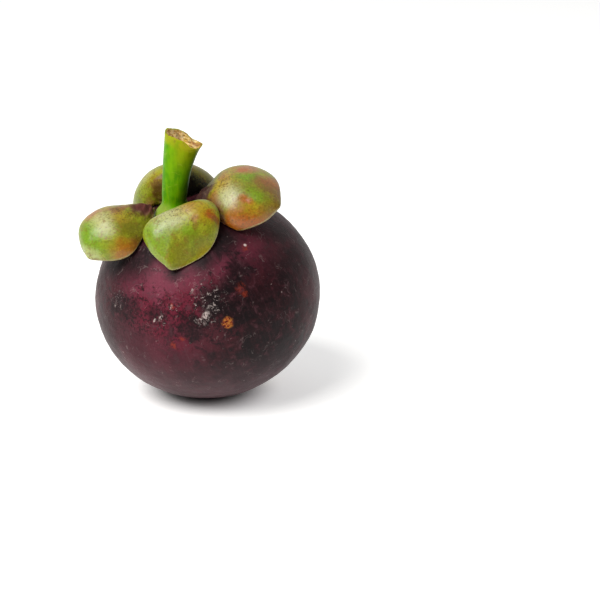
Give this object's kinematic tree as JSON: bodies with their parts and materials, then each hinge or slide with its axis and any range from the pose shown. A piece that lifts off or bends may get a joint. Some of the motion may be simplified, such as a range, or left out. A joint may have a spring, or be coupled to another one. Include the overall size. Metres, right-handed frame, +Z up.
{
  "type": "mangosteen",
  "caption": "Whole ripe mangosteen: a round dark purple rind with a green cut stalk, thick domed sepals round its collar and a corky stigma scar underneath.",
  "frame": {"origin": "centre of the small flat spot that the fruit rests on", "axes": "+Z up; the fruit stands as it lies on a table, with its stalk leaning to -X and a little to -Y"},
  "size_m": [0.0627, 0.0598, 0.0723],
  "materials": {
    "rind": "satin dark purple skin with dry scratches and corky specks",
    "sepal": "waxy yellow-green, finely speckled with brown",
    "stalk": "smooth green bark, ochre and brown at the cut",
    "stigma": "dry brown cork"
  },
  "bodies": {
    "root": {"rind": "rind", "stalk": "stalk", "stigma": "stigma", "sepal_front": "sepal", "sepal_right": "sepal", "sepal_back": "sepal", "sepal_left": "sepal"}
  },
  "joints": []
}
